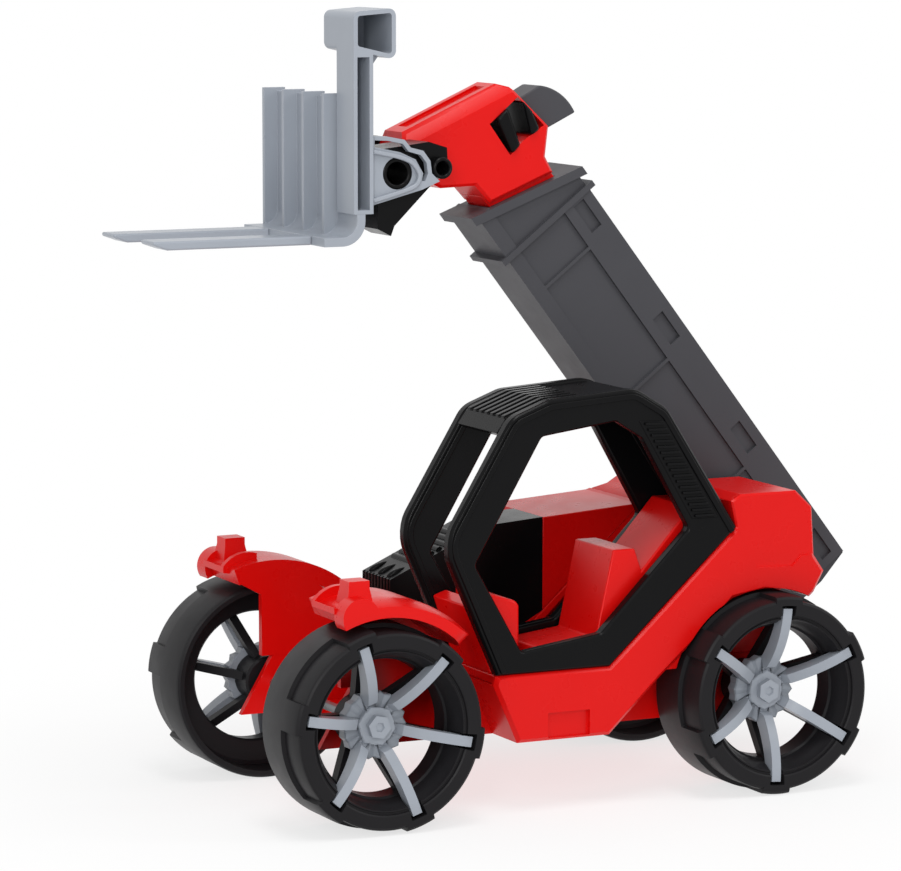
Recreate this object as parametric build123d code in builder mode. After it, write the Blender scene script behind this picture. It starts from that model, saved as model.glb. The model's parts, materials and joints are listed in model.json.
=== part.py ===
from build123d import *
import os
from math import cos, radians, sin

os.makedirs("parts", exist_ok=True)

# Toy telehandler. Millimetres, +X forward, +Y to the driver's left, +Z up, floor at z = 0.
# Side outlines are given as (x, z) from the middle of the wheelbase, z from a base line above the floor.

# Wheels and axles
middle_x = -6.0
wheelbase = 178.8
base_z = 1.7
tyre_r = 41.7
tyre_width = 35.0
tyre_depth = 14.7
tyre_shell = 3.2
tyre_rim_wall = 2.5
tyre_recess = 8.0
wheel_gap = 2.3
tyre_sides = 36
hub_sides = 18
bore_sides = 12
lug_height = 1.7
shoulder_width = 15.0
lug_count = 6
lug_length = 12.6
axle_r = 2.0
axle_play = 0.05
axle_end = 3.0
hub_r = 10.5
boss_r = 13.0
hub_length = 12.5
core_spoke_width = 3.6
core_spoke_depth = 5.0
core_root_set_back = 3.5
core_rim_set_back = 1.0
tyre_edge = 2.0
tread_edge = 1.5
mouth_rise = 5.0
mouth_depth = 8.0
spoke_width = 4.2
spoke_root_r = 4.0
spoke_bend_r = 9.0
spoke_root_depth = 9.0
spoke_tip_inset = 5.4
spoke_tip_depth = 5.0
spoke_set_back = 1.0
spoke_rim_set_back = 2.2
spoke_rim_depth = 6.4
spoke_play = 0.8
boss_length = 5.0
neck_length = 3.0
neck_r = 7.5
cap_width = 10.0
cap_height = 3.0
lap = 1.0
front_spoke_angle = 71.35
rear_spoke_angle = 93.88

# Chassis
wall = 3.0
pan_z = 27.5
pan_half = 42.0
pan_top_z = 52.0
pan_front_x = 104.5
pan_slant_x = 90.0
pan_floor_front_x = 81.0
pan_rear_x = -108.0
body_half = 66.0
tunnel_half = 17.0
cheek_top_z = 123.4
cheek_hollow_front_x = -50.0
cheek_hollow_knee_x = -78.0
cheek_hollow_knee_z = 80.0
cheek_hollow_rear_x = -104.0
cheek_hollow_top_z = 104.0
arch_gap = 1.5
sill_front_x = 37.5
sill_rear_x = -38.9
sill_low_front_x = 26.7
sill_low_rear_x = -15.5
sill_rear_z = 49.6
cab_floor_z = 56.0
cab_front_x = 36.3
band_low_x = -15.2
band_top_x = -74.4
band_top_z = 109.9
floor_thick = 4.6
floor_back = 1.6
step_width = 19.0
step_height = 10.5
step_depth = 2.0
step_rise = 1.0
step_x = 3.6
panel_bevel = 1.6
cheek_sink = 0.8

# Front fenders
fender_gap = 3.8
fender_thick = 7.0
fender_set_in = 3.3
fender_front_angle = 70.0
fender_rear_angle = 137.5
fender_wall = 3.2
column_front = 5.6
column_rear = 0.7
column_knee_drop = 3.7
lamp_top_rise = 15.0
lamp_low_rise = 4.3
lamp_taper = 2.0
lamp_inset = 8.0
fender_lip = 4.5
fender_crown = 12.0
fender_round = 8.0
dome_ahead = 11.6
dome_rise = 4.3
dome_r = 8.0
dome_width = 9.0
fence_width = 3.0
fence_bow = 2.0
flange_rear = 10.6
flange_front = 20.0
flange_lift = 4.0
flange_rise = 1.5
flange_thick = 2.6
flange_inset = 4.0
lamp_length = 9.0
lamp_width = 9.0
lamp_ahead = 13.6

# Cab
frame_depth = 6.0
frame_round = 12.0
window_round = 3.0
frame_bevel = 1.0
louvre_count = 17
louvre_length = 8.6
louvre_height = 1.2
louvre_depth = 0.7
roof_sink = 1.0
roof_rib_count = 7
roof_rib_width = 2.6
roof_rib_share = 0.4
cab_inner_y = 18.0
seat_gap = 1.0
seat_front_x = 12.0
seat_back_x = -12.0
seat_z = 67.0
seat_dip = 3.0
seat_top_z = 103.0
seat_lean = 8.0
seat_thick = 10.0
shelf_low_z = 90.0
shelf_top_z = 119.0
shelf_front_x = -56.0
shelf_rear_x = -64.0
shelf_foot_x = -70.4
console_rear_x = 24.0
console_tip_x = 46.0
console_cap = 6.0
console_top_z = 86.0
console_dip = 2.0
console_knee_z = 70.0

# Engine hood on the right
hood_outer_y = 45.0
hood_depth = 6.0
engine_front_z = 76.0
skirt_depth = 1.5
skirt_low_z = 60.0
hood_groove = 1.3
hood_groove_depth = 0.8
hood_groove_count = 9
hood_rib_r = 1.7
hood_rib_sink = 0.6
hood_rib_count = 7
hood_rib_inset = 3.0
hood_rib_span = (0.3, 0.78)
vent_count = 5
vent_length = 22.0
vent_height = 2.2
vent_pitch = 5.0
vent_depth = 1.2
vent_x = 6.0
vent_z = 64.0

# Boom
pivot_x = -92.0
pivot_z = 112.0
pivot_r = 3.0
pivot_seat = 12.0
pivot_play = 0.05
boom_angle = 52.2
sleeve_half = 13.2
sleeve_low = -11.6
sleeve_high = 35.7
sleeve_wall = 2.4
sleeve_tail = 63.0
sleeve_end_low = 169.0
sleeve_end_high = 153.5
collar_foot = 147.0
collar_half = 15.4
collar_lip = 2.8
collar_depth = 2.6
band_depth = 1.3
band_width = 15.0
rail_width = 6.5
sleeve_rib_width = 1.4
sleeve_rib_first = 1.5
sleeve_rib_pitch = 61.4
sleeve_rib_count = 3
pocket_first = -48.3
pocket_pitch = 61.5
pocket_count = 4
pocket_height = 28.2
pocket_length = 14.0
pocket_width = 5.6
pocket_depth = 1.5
sleeve_tail_rise = 20.0
sleeve_tail_cut = 7.0
sleeve_tail_lean = 3.0
sleeve_tail_wall = 10.0
band_inset = 4.0
collar_band = 4.0
throat_depth = 8.0
slide_play = 0.4
inner_low = -3.2
inner_high = 27.7
inner_half = 9.8
inner_end_low = 172.0
inner_end_high = 160.0
shoe_start = 12.0
shoe_length = 28.0
head_half = 13.0
head_bevel = 1.2
head_groove_half = 6.0
head_groove_depth = 1.3
head_groove_span = (0.1, 0.93)
lever_half = 8.0
lock_bar_half = 11.5

# Coupler and fork
tilt_x = 47.1
tilt_z = 260.2
tilt_r = 2.8
tilt_boss_r = 4.4
nose_r = 8.0
coupler_play = 0.6
coupler_gap = 1.8
pin_x = 67.4
pin_z = 258.7
pin_r = 6.5
pin_hole_r = 4.5
fork_half = 41.0
plate_x = 83.0
plate_depth = 3.6
plate_top_z = 289.0
tab_rise = 1.5
fin_depth = 6.0
fin_width = 2.0
fin_post_gap = 4.8
fin_count = 4
tine_top_z = 234.0
tine_width = 14.0
tine_spacing = 43.0
tine_tip_x = 168.98
tip_length = 6.0
tip_depth = 1.5
heel_r = 10.0
heel_length = 8.0
post_front_x = 88.0
post_depth = 8.5
post_width = 16.6
post_rise = 2.6
post_wall = 1.6
channel_depth = 12.0
channel_top_gap = 3.0
gusset_drop = 8.0
gusset_reach = 6.0
gusset_width = 3.0
box_rear_x = 69.5
box_low_rear_z = 304.2
box_low_front_z = 308.5
box_top_front_z = 323.5
box_top_rear_z = 324.9
box_length = 29.0
box_wall = 1.8
box_round = 3.0
bracket_width = 3.0
bracket_inset = 3.2
bracket_rise = 13.8
bracket_drop = 14.3

front_axle_x = wheelbase / 2
rear_axle_x = -wheelbase / 2
tyre_inner_y = pan_half + wheel_gap
tyre_outer_y = tyre_inner_y + tyre_width
rim_r = tyre_r - tyre_depth
shoulder_r = tyre_r - lug_height
axle_z = tyre_r - base_z
spoke_tip_r = tyre_r - spoke_tip_inset
arch_r = tyre_r + arch_gap
fender_inner_r = tyre_r + fender_gap
fender_outer_r = fender_inner_r + fender_thick
fender_outer_y = tyre_outer_y - fender_set_in
fender_wall_y = pan_half - fender_wall
column_front_x = front_axle_x + column_front
column_rear_x = front_axle_x - tyre_r - column_rear
column_knee_z = axle_z + tyre_r - column_knee_drop
lamp_x = front_axle_x + lamp_ahead
lamp_top_z = axle_z + tyre_r + lamp_top_rise
lamp_low_z = axle_z + tyre_r + lamp_low_rise
dome_x = front_axle_x + dome_ahead
dome_z = axle_z + tyre_r + dome_rise
flange_rear_x = front_axle_x + flange_rear
flange_front_x = front_axle_x + flange_front
flange_z = axle_z + tyre_r + flange_lift
bracket_half = fork_half - bracket_inset
coupler_inner = head_half + coupler_play
coupler_outer = bracket_half - bracket_width - coupler_gap
fin_spacing = (2 * fork_half - post_width - fin_post_gap) / (fin_count - 1)
box_inner_y = fork_half - box_length
tine_low_z = tine_top_z - plate_depth
plate_foot_z = tine_low_z + heel_r
heel_front_x = plate_x + heel_r + heel_length
post_rear_x = post_front_x - post_depth
post_low_z = plate_foot_z + post_rise


def side_plane(y):
    """Upright plane at the given y, drawn in (x, z) from the middle of the wheelbase."""
    return Plane(origin=(middle_x, y, base_z), x_dir=(1, 0, 0), z_dir=(0, -1, 0))


def boom_plane(y):
    """Upright plane through the boom pivot, drawn along and across the boom."""
    along = (cos(radians(boom_angle)), 0, sin(radians(boom_angle)))
    return Plane(origin=(middle_x + pivot_x, y, base_z + pivot_z), x_dir=along, z_dir=(0, -1, 0))


def plate(points, y_low, y_high, plane=side_plane, mode=Mode.ADD, corner_r=0, round_above=0):
    """Adds or cuts an upright plate, its corners above the given height rounded, between two y values."""
    with BuildSketch(plane(y_high)) as outline:
        with BuildLine():
            Polyline(*points, close=True)
        make_face()
        if corner_r:
            fillet([corner for corner in outline.vertices() if corner.Y > round_above], radius=corner_r)
    extrude(outline.sketch, amount=y_high - y_low, mode=mode)


def bar(x, z, radius, y_low, y_high, plane=side_plane, mode=Mode.ADD):
    """Adds or cuts a round bar across the machine."""
    with BuildSketch(plane(y_high)) as disc:
        with Locations((x, z)):
            Circle(radius)
    extrude(disc.sketch, amount=y_high - y_low, mode=mode)


def along(start, end, share):
    """Point at the given share of the way between two points."""
    return (start[0] + share * (end[0] - start[0]), start[1] + share * (end[1] - start[1]))


def write(piece, name):
    """Labels a finished piece and writes it."""
    piece.label = name
    export_step(piece, f"parts/{name}.step")


def write_pair(piece, name):
    """Writes a left piece and its mirror image on the right."""
    write(piece, f"{name}_left")
    write(piece.mirror(Plane.XZ), f"{name}_right")


def arch_point(radius, angle):
    """Point on a circle round the front axle, angle in degrees from straight ahead."""
    return (front_axle_x + radius * cos(radians(angle)), axle_z + radius * sin(radians(angle)))


# Wheels: black tyre with lugs, core spokes and hub, and a silver star with a hub cap
def wheel_plane(x, angle):
    """Plane through a wheel's axle, drawn along the axle and outwards at the given angle."""
    across = (sin(radians(angle)), 0, -cos(radians(angle)))
    return Plane(origin=(middle_x + x, 0, tyre_r), x_dir=(0, 1, 0), z_dir=across)


def wheel_ring(x, radius, y, sides):
    """Many-sided disc round an axle at the given y, with a corner straight down."""
    with BuildSketch(side_plane(y)) as disc:
        with Locations((x, axle_z)):
            RegularPolygon(radius, sides, rotation=-90)
    return disc.sketch


def build_wheel(x, first_angle, name):
    hub_end_y = tyre_inner_y + hub_length
    boss_end_y = hub_end_y + boss_length
    neck_end_y = boss_end_y + neck_length
    turns = [first_angle + 360 / lug_count * i for i in range(lug_count)]
    with BuildPart() as tyre:
        crown = (
            (tyre_inner_y, tyre_r - tyre_edge),
            (tyre_inner_y + tyre_edge, tyre_r),
            (tyre_outer_y - tread_edge, tyre_r),
            (tyre_outer_y, tyre_r - tread_edge),
        )
        mouth = (
            (tyre_inner_y - lap, rim_r),
            (tyre_outer_y - mouth_depth, rim_r),
            (tyre_outer_y, rim_r + mouth_rise),
        )
        for profile, mode in ((crown, Mode.ADD), (mouth, Mode.SUBTRACT)):
            loft([wheel_ring(x, radius, y, tyre_sides) for y, radius in profile], ruled=True, mode=mode)
        extrude(wheel_ring(x, hub_r, hub_end_y, hub_sides), amount=hub_length)
        with BuildSketch(side_plane(tyre_inner_y + tyre_recess)):
            with Locations((x, axle_z)):
                RegularPolygon(shoulder_r - tyre_shell, tyre_sides, rotation=-90)
                RegularPolygon(rim_r + tyre_rim_wall, tyre_sides, rotation=-90, mode=Mode.SUBTRACT)
        extrude(amount=tyre_recess, mode=Mode.SUBTRACT)
        core_root_y = hub_end_y - core_root_set_back
        core_rim_y = tyre_outer_y - spoke_rim_set_back - spoke_rim_depth - core_rim_set_back
        for turn in turns:
            with BuildSketch(wheel_plane(x, turn)):
                with BuildLine():
                    Polyline(
                        (core_root_y - core_spoke_depth, hub_r - lap),
                        (core_root_y, hub_r - lap),
                        (core_rim_y, rim_r + lap),
                        (core_rim_y - core_spoke_depth, rim_r + lap),
                        close=True,
                    )
                make_face()
            extrude(amount=core_spoke_width / 2, both=True)
        with BuildSketch(side_plane(tyre_outer_y)):
            with Locations((x, axle_z)):
                RegularPolygon(tyre_r + lap, tyre_sides, rotation=-90)
                RegularPolygon(shoulder_r, tyre_sides, rotation=-90, mode=Mode.SUBTRACT)
            for turn in turns:
                with Locations(Location((x, axle_z), turn)):
                    with Locations((tyre_r, 0)):
                        Rectangle(2 * lug_length, lug_length, mode=Mode.SUBTRACT)
        extrude(amount=shoulder_width, mode=Mode.SUBTRACT)
        with BuildSketch(side_plane(tyre_outer_y)):
            for turn in turns:
                with Locations(Location((x, axle_z), turn)):
                    with Locations(((spoke_tip_r + rim_r) / 2, 0)):
                        Rectangle(spoke_tip_r - rim_r + 2 * spoke_play, spoke_width + 2 * spoke_play)
        extrude(amount=spoke_rim_set_back + spoke_rim_depth + spoke_play, mode=Mode.SUBTRACT)
        bore_r = (axle_r + axle_play) / cos(radians(180 / bore_sides))
        bore = wheel_ring(x, bore_r, hub_end_y, bore_sides)
        extrude(bore, amount=hub_length, mode=Mode.SUBTRACT)
    with BuildPart() as star:
        bar(x, axle_z, boss_r, hub_end_y, boss_end_y)
        bar(x, axle_z, neck_r, boss_end_y, neck_end_y)
        with BuildSketch(side_plane(neck_end_y + cap_height)):
            with Locations((x, axle_z)):
                RegularPolygon(cap_width / 2, 6, rotation=first_angle)
        extrude(amount=cap_height)
        root_back_y = hub_end_y + lap
        root_front_y = root_back_y + spoke_root_depth
        rim_front_y = tyre_outer_y - spoke_rim_set_back
        tip_front_y = tyre_outer_y - spoke_set_back
        for turn in turns:
            with BuildSketch(wheel_plane(x, turn)):
                with BuildLine():
                    front_edge = ThreePointArc(
                        (root_front_y, spoke_bend_r), (rim_front_y, rim_r), (tip_front_y, spoke_tip_r)
                    )
                    back_edge = ThreePointArc(
                        (root_back_y, spoke_bend_r),
                        (rim_front_y - spoke_rim_depth, rim_r),
                        (tip_front_y - spoke_tip_depth, spoke_tip_r),
                    )
                    Line(front_edge @ 1, back_edge @ 1)
                    Polyline(
                        front_edge @ 0,
                        (root_front_y, spoke_root_r),
                        (root_back_y, spoke_root_r),
                        back_edge @ 0,
                    )
                make_face()
            extrude(amount=spoke_width / 2, both=True)
        bar(x, axle_z, axle_r + axle_play, hub_end_y - lap, hub_end_y + axle_end + lap, mode=Mode.SUBTRACT)
    write_pair(tyre.part, f"{name}_tyre")
    write_pair(star.part, f"{name}_star")


build_wheel(front_axle_x, front_spoke_angle, "front")
build_wheel(rear_axle_x, rear_spoke_angle, "rear")

for name, x in (("front_axle", front_axle_x), ("rear_axle", rear_axle_x)):
    with BuildPart() as axle:
        axle_half = tyre_inner_y + hub_length + axle_end
        bar(x, axle_z, axle_r, -axle_half, axle_half)
    write(axle.part, name)

# Chassis pan: floor with two side walls that carry the axles
pan_side = [
    (pan_rear_x, pan_z),
    (pan_front_x, pan_z),
    (pan_slant_x, pan_top_z),
    (pan_rear_x, pan_top_z),
]
with BuildPart() as pan:
    plate(pan_side, -pan_half, pan_half)
    inside = [
        (pan_rear_x + wall, pan_z + wall),
        (pan_front_x + lap, pan_z + wall),
        (pan_front_x + lap, pan_top_z + lap),
        (pan_rear_x + wall, pan_top_z + lap),
    ]
    plate(inside, -pan_half + wall, pan_half - wall, mode=Mode.SUBTRACT)
    open_front = [
        (pan_floor_front_x, pan_z - lap),
        (pan_front_x + lap, pan_z - lap),
        (pan_front_x + lap, pan_top_z + lap),
        (pan_floor_front_x, pan_top_z + lap),
    ]
    plate(open_front, -pan_half + wall, pan_half - wall, mode=Mode.SUBTRACT)
    for x in (front_axle_x, rear_axle_x):
        bar(x, axle_z, axle_r, -pan_half - lap, pan_half + lap, mode=Mode.SUBTRACT)
write(pan.part, "chassis_pan")

# Outer side panels: sill box with its step, the slanted band and the rear fender skin
cab_edge = [(cab_front_x, cab_floor_z), (band_low_x, cab_floor_z), (band_top_x, band_top_z)]
band_slope = (cab_edge[2][1] - cab_edge[1][1]) / (cab_edge[2][0] - cab_edge[1][0])
band_foot = (sill_rear_x, cab_floor_z + band_slope * (sill_rear_x - cab_edge[1][0]))
sill = [
    (sill_front_x, pan_top_z),
    (sill_low_front_x, pan_z),
    (sill_low_rear_x, pan_z),
    (sill_rear_x, sill_rear_z),
    (sill_rear_x, pan_top_z),
]
cheek_top = [
    (-72.0, 120.7),
    (-76.5, cheek_top_z),
    (-102.8, cheek_top_z),
    (-110.6, 116.1),
    (-111.9, 95.7),
    (-116.8, 88.6),
    (-112.1, 80.0),
    (-108.5, 76.9),
]
skin = sill[:4] + [(-62.7, 70.1), (-73.0, 80.0), (-88.0, 82.4), (-99.9, 80.0)]
with BuildPart() as panel:
    plate(cab_edge[:1] + skin + cheek_top[::-1] + cab_edge[:0:-1], body_half - wall, body_half)
    chamfer(panel.faces().sort_by(Axis.Y)[-1].edges(), panel_bevel)
    plate(sill, pan_half, body_half - wall)
    with BuildSketch(side_plane(body_half - wall)):
        with BuildLine():
            Polyline(*sill, close=True)
        make_face()
        offset(amount=-wall, kind=Kind.INTERSECTION, mode=Mode.REPLACE)
    extrude(amount=body_half - wall - pan_half, mode=Mode.SUBTRACT)
    with BuildSketch(side_plane(body_half)):
        with Locations((step_x, pan_z + step_rise + step_height / 2)):
            Rectangle(step_width, step_height)
    extrude(amount=step_depth, mode=Mode.SUBTRACT)
    bar(rear_axle_x, axle_z, arch_r, pan_half, body_half + lap, mode=Mode.SUBTRACT)
    sunk_face = [
        (-73.2, 110.0),
        (-83.9, 92.4),
        (-100.9, 91.8),
        (-105.3, 96.0),
        (-112.0, 96.4),
        (-112.0, cheek_top_z + lap),
        (band_top_x + wall, cheek_top_z + lap),
    ]
    plate(sunk_face, body_half - cheek_sink, body_half + lap, mode=Mode.SUBTRACT)
write_pair(panel.part, "side_panel")

# Rear cheeks: housings over the rear wheels that hold the boom pivot between them
cheek_side = [(sill_rear_x, pan_top_z), band_foot, cab_edge[2]] + cheek_top + [(pan_rear_x, pan_top_z)]
with BuildPart() as cheek:
    plate(cheek_side, tunnel_half, body_half - wall)
    bar(rear_axle_x, axle_z, arch_r, pan_half, body_half, mode=Mode.SUBTRACT)
    pocket = [
        (cheek_hollow_front_x, pan_top_z - lap),
        (cheek_hollow_front_x, cheek_hollow_knee_z),
        (cheek_hollow_knee_x, cheek_hollow_top_z),
        (cheek_hollow_rear_x, cheek_hollow_top_z),
        (cheek_hollow_rear_x, pan_top_z - lap),
    ]
    plate(pocket, tunnel_half + wall, pan_half - wall, mode=Mode.SUBTRACT)
    bar(pivot_x, pivot_z, pivot_r, tunnel_half - lap, tunnel_half + pivot_seat, mode=Mode.SUBTRACT)
write_pair(cheek.part, "rear_cheek")

with BuildPart() as pivot_pin:
    bar(pivot_x, pivot_z, pivot_r, -tunnel_half - pivot_seat, tunnel_half + pivot_seat)
write(pivot_pin.part, "boom_pivot_pin")

# Floor plates beside the boom tunnel, under the cab and under the engine
floor_side = [
    (cab_front_x, pan_top_z),
    cab_edge[0],
    cab_edge[1],
    band_foot,
    (sill_rear_x, band_foot[1] - floor_thick),
    (band_low_x - floor_back, pan_top_z),
]
with BuildPart() as floor:
    plate(floor_side, tunnel_half, body_half - wall)
write_pair(floor.part, "floor_plate")

# Driver's seat with the sloped shelf behind it, and the console in front
seat_inner_y = cab_inner_y + frame_depth + seat_gap
seat_outer_y = body_half - frame_depth - seat_gap
with BuildPart() as seat:
    cushion = [
        (seat_front_x, cab_floor_z),
        (seat_front_x, seat_z - seat_dip),
        (seat_back_x, seat_z),
        (band_low_x, cab_floor_z),
    ]
    back = [
        (band_low_x, cab_floor_z),
        (seat_back_x, seat_z),
        (seat_back_x - seat_lean, seat_top_z),
        (seat_back_x - seat_lean - seat_thick, seat_top_z),
        band_foot,
    ]
    shelf = [
        band_foot,
        (seat_back_x - seat_lean - seat_thick, shelf_low_z),
        (shelf_front_x, shelf_top_z),
        (shelf_rear_x, shelf_top_z),
        (shelf_foot_x, cab_floor_z + band_slope * (shelf_foot_x - band_low_x)),
    ]
    for outline in (cushion, back, shelf):
        plate(outline, seat_inner_y, seat_outer_y)
write(seat.part, "seat")

with BuildPart() as console:
    console_side = [
        (cab_front_x, cab_floor_z),
        (console_tip_x, console_top_z - console_dip),
        (console_tip_x - console_cap, console_top_z),
        (console_rear_x, console_knee_z),
        (console_rear_x, cab_floor_z),
    ]
    plate(console_side, seat_inner_y, seat_outer_y)
write(console.part, "console")

# Front fenders: arch band, inner wall down to the pan, headlamp stub and front flange
with BuildPart() as fender:
    lip_r = fender_inner_r + fender_lip
    with BuildSketch(wheel_plane(front_axle_x, fender_front_angle)):
        with BuildLine():
            Polyline(
                (fender_outer_y - fender_crown, fender_outer_r),
                (fender_wall_y, fender_outer_r),
                (fender_wall_y, fender_inner_r),
                (fender_outer_y, fender_inner_r),
                (fender_outer_y, lip_r),
            )
            ThreePointArc(
                (fender_outer_y, lip_r),
                (fender_outer_y - fender_crown / 2, fender_outer_r - (fender_outer_r - lip_r) / 4),
                (fender_outer_y - fender_crown, fender_outer_r),
            )
        make_face()
    sweep_angle = fender_rear_angle - fender_front_angle
    revolve(axis=Axis((middle_x + front_axle_x, 0, tyre_r), (0, -1, 0)), revolution_arc=sweep_angle)
    rear_x, rear_z = arch_point((fender_inner_r + lip_r) / 2, fender_rear_angle)
    rear_corner = fender.edges().sort_by_distance((middle_x + rear_x, fender_outer_y, base_z + rear_z))[0]
    fillet(rear_corner, radius=fender_round)
    inner_wall = [
        (column_front_x, pan_top_z),
        (column_front_x, column_knee_z),
        arch_point(fender_inner_r + lap, fender_front_angle),
        arch_point(fender_inner_r + lap, 90),
        arch_point(fender_inner_r + lap, 110),
        arch_point(fender_inner_r + lap, fender_rear_angle),
        (column_rear_x, pan_top_z),
    ]
    plate(inner_wall, fender_wall_y, pan_half)
    lamp_y = fender_outer_y - lamp_inset - lamp_width / 2
    lamp_ends = []
    for level, spread in ((lamp_low_z, lamp_taper), (lamp_top_z, 0)):
        with BuildSketch(Plane.XY.offset(base_z + level)) as lamp_end:
            with Locations((middle_x + lamp_x - lamp_length / 2, lamp_y)):
                Rectangle(lamp_length + 2 * spread, lamp_width + 2 * spread)
        lamp_ends.append(lamp_end.sketch)
    loft(lamp_ends, ruled=True)
    bar(dome_x, dome_z, dome_r, fender_outer_y - dome_width, fender_outer_y)
    bar(front_axle_x, axle_z, fender_inner_r, pan_half, tyre_outer_y, mode=Mode.SUBTRACT)
    plate(
        [
            (flange_rear_x, flange_z),
            (flange_front_x, flange_z + flange_rise),
            (flange_front_x, flange_z + flange_rise + flange_thick),
            (flange_rear_x, flange_z + flange_thick),
        ],
        pan_half + flange_inset,
        fender_outer_y - lamp_inset,
    )
    fence_start = (lamp_x - lamp_length, lamp_top_z - lamp_taper)
    fence_end = (flange_front_x, flange_z + flange_rise + flange_thick)
    fence_x, fence_z = along(fence_start, fence_end, 0.5)
    with BuildSketch(side_plane(pan_half + flange_inset + fence_width)):
        with BuildLine():
            ThreePointArc(fence_start, (fence_x + fence_bow, fence_z + fence_bow), fence_end)
            Polyline(
                fence_end,
                (flange_front_x, flange_z + flange_rise),
                (flange_rear_x, flange_z),
                (fence_start[0], flange_z),
                fence_start,
            )
        make_face()
    extrude(amount=fence_width)
write_pair(fender.part, "front_fender")

# Engine side: red inner wall and deck, black sloped hood
hood_line = [(45.7, 79.1), (0.3, 99.3), (-26.1, 106.3)]
deck_line = [(-26.1, 106.1), (-72.0, 109.2)]
engine_hollow = [(30, 50), (30, 66), (2, 84), (-24, 94), (-66, 100), (-15, 52)]
hood_skirt = hood_line + [
    (hood_line[2][0], cab_floor_z + band_slope * (hood_line[2][0] - band_low_x)),
    (band_low_x, skirt_low_z),
    (cab_front_x, skirt_low_z),
    (cab_front_x, engine_front_z),
    (hood_line[0][0], hood_line[0][1] - hood_depth),
]
with BuildPart() as pod:
    plate(
        [
            cab_edge[0],
            (cab_front_x, engine_front_z),
            (hood_line[0][0], hood_line[0][1] - hood_depth),
            (hood_line[1][0], hood_line[1][1] - hood_depth),
            (hood_line[2][0], hood_line[2][1] - hood_depth),
            deck_line[0],
            deck_line[1],
            cab_edge[2],
            cab_edge[1],
        ],
        -body_half,
        -tunnel_half,
    )
    plate(
        [
            (cab_front_x + lap, pan_top_z),
            (hood_line[0][0] + lap, pan_top_z),
            (hood_line[0][0] + lap, hood_line[0][1]),
            (cab_front_x + lap, hood_line[0][1]),
        ],
        -body_half - lap,
        -hood_outer_y,
        mode=Mode.SUBTRACT,
    )
    plate(
        engine_hollow,
        -body_half + wall,
        -tunnel_half - wall,
        mode=Mode.SUBTRACT,
    )
    plate(hood_skirt, -tunnel_half - skirt_depth, -tunnel_half + lap, mode=Mode.SUBTRACT)
    with BuildSketch(side_plane(-body_half + vent_depth)):
        with Locations((vent_x, vent_z + vent_pitch * (vent_count - 1) / 2)):
            with GridLocations(0, vent_pitch, 1, vent_count):
                Rectangle(vent_length, vent_height)
    extrude(amount=vent_depth, mode=Mode.SUBTRACT)
write(pod.part, "engine_cover")

with BuildPart() as hood:
    plate(
        hood_line + [(x, z - hood_depth) for x, z in reversed(hood_line)],
        -hood_outer_y,
        -tunnel_half,
    )
    plate(hood_skirt, -tunnel_half - skirt_depth, -tunnel_half)
    front_x, front_z = hood_line[0]
    groove_pitch = (hood_outer_y - tunnel_half) / hood_groove_count
    for i in range(hood_groove_count):
        groove_y = -hood_outer_y + groove_pitch * (i + 0.5) - hood_groove / 2
        groove = [
            (front_x - hood_groove_depth, front_z - hood_depth - lap),
            (front_x + lap, front_z - hood_depth - lap),
            (front_x + lap, front_z + lap),
            (front_x - hood_groove_depth, front_z + lap),
        ]
        plate(groove, groove_y, groove_y + hood_groove, mode=Mode.SUBTRACT)
    for i in range(hood_rib_count):
        rib_share = along(*[(share, 0) for share in hood_rib_span], i / (hood_rib_count - 1))[0]
        rib_x, rib_z = along(hood_line[0], hood_line[1], rib_share)
        rib_ends = (-hood_outer_y + hood_rib_inset, -tunnel_half - hood_rib_inset)
        bar(rib_x, rib_z - hood_rib_sink, hood_rib_r, *rib_ends)
write(hood.part, "hood")

# Cab: two side frames with their windows cut, roof, and rear panel
cab_outline = cab_edge + [(-41.5, 161.1), (-26.8, 170.1), (13.0, 167.4), (30.0, 161.0), (60.5, 110.8)]
cab_window = [(25, 65), (-11, 70), (-52, 111), (-30, 149.5), (-18, 157), (16, 152.5), (46, 102)]
louvre_top = (-35.0, 155.1)
louvre_low = (-59.7, 115.5)
frame_inner_y = body_half - frame_depth
for name, y_low, slot_y in (
    ("cab_frame_left", frame_inner_y, body_half),
    ("cab_frame_right", cab_inner_y, cab_inner_y + louvre_depth),
):
    with BuildPart() as frame:
        plate(cab_outline, y_low, y_low + frame_depth, corner_r=frame_round, round_above=cheek_top_z)
        window_span = (y_low - lap, y_low + frame_depth + lap)
        plate(cab_window, *window_span, mode=Mode.SUBTRACT, corner_r=window_round)
        side_faces = frame.faces().sort_by(Axis.Y)
        chamfer(side_faces[0].edges() + side_faces[-1].edges(), frame_bevel)
        with BuildSketch(side_plane(slot_y)):
            for i in range(louvre_count):
                with Locations(along(louvre_top, louvre_low, i / (louvre_count - 1))):
                    Rectangle(louvre_length, louvre_height)
        extrude(amount=louvre_depth, mode=Mode.SUBTRACT)
    write(frame.part, name)

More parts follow.
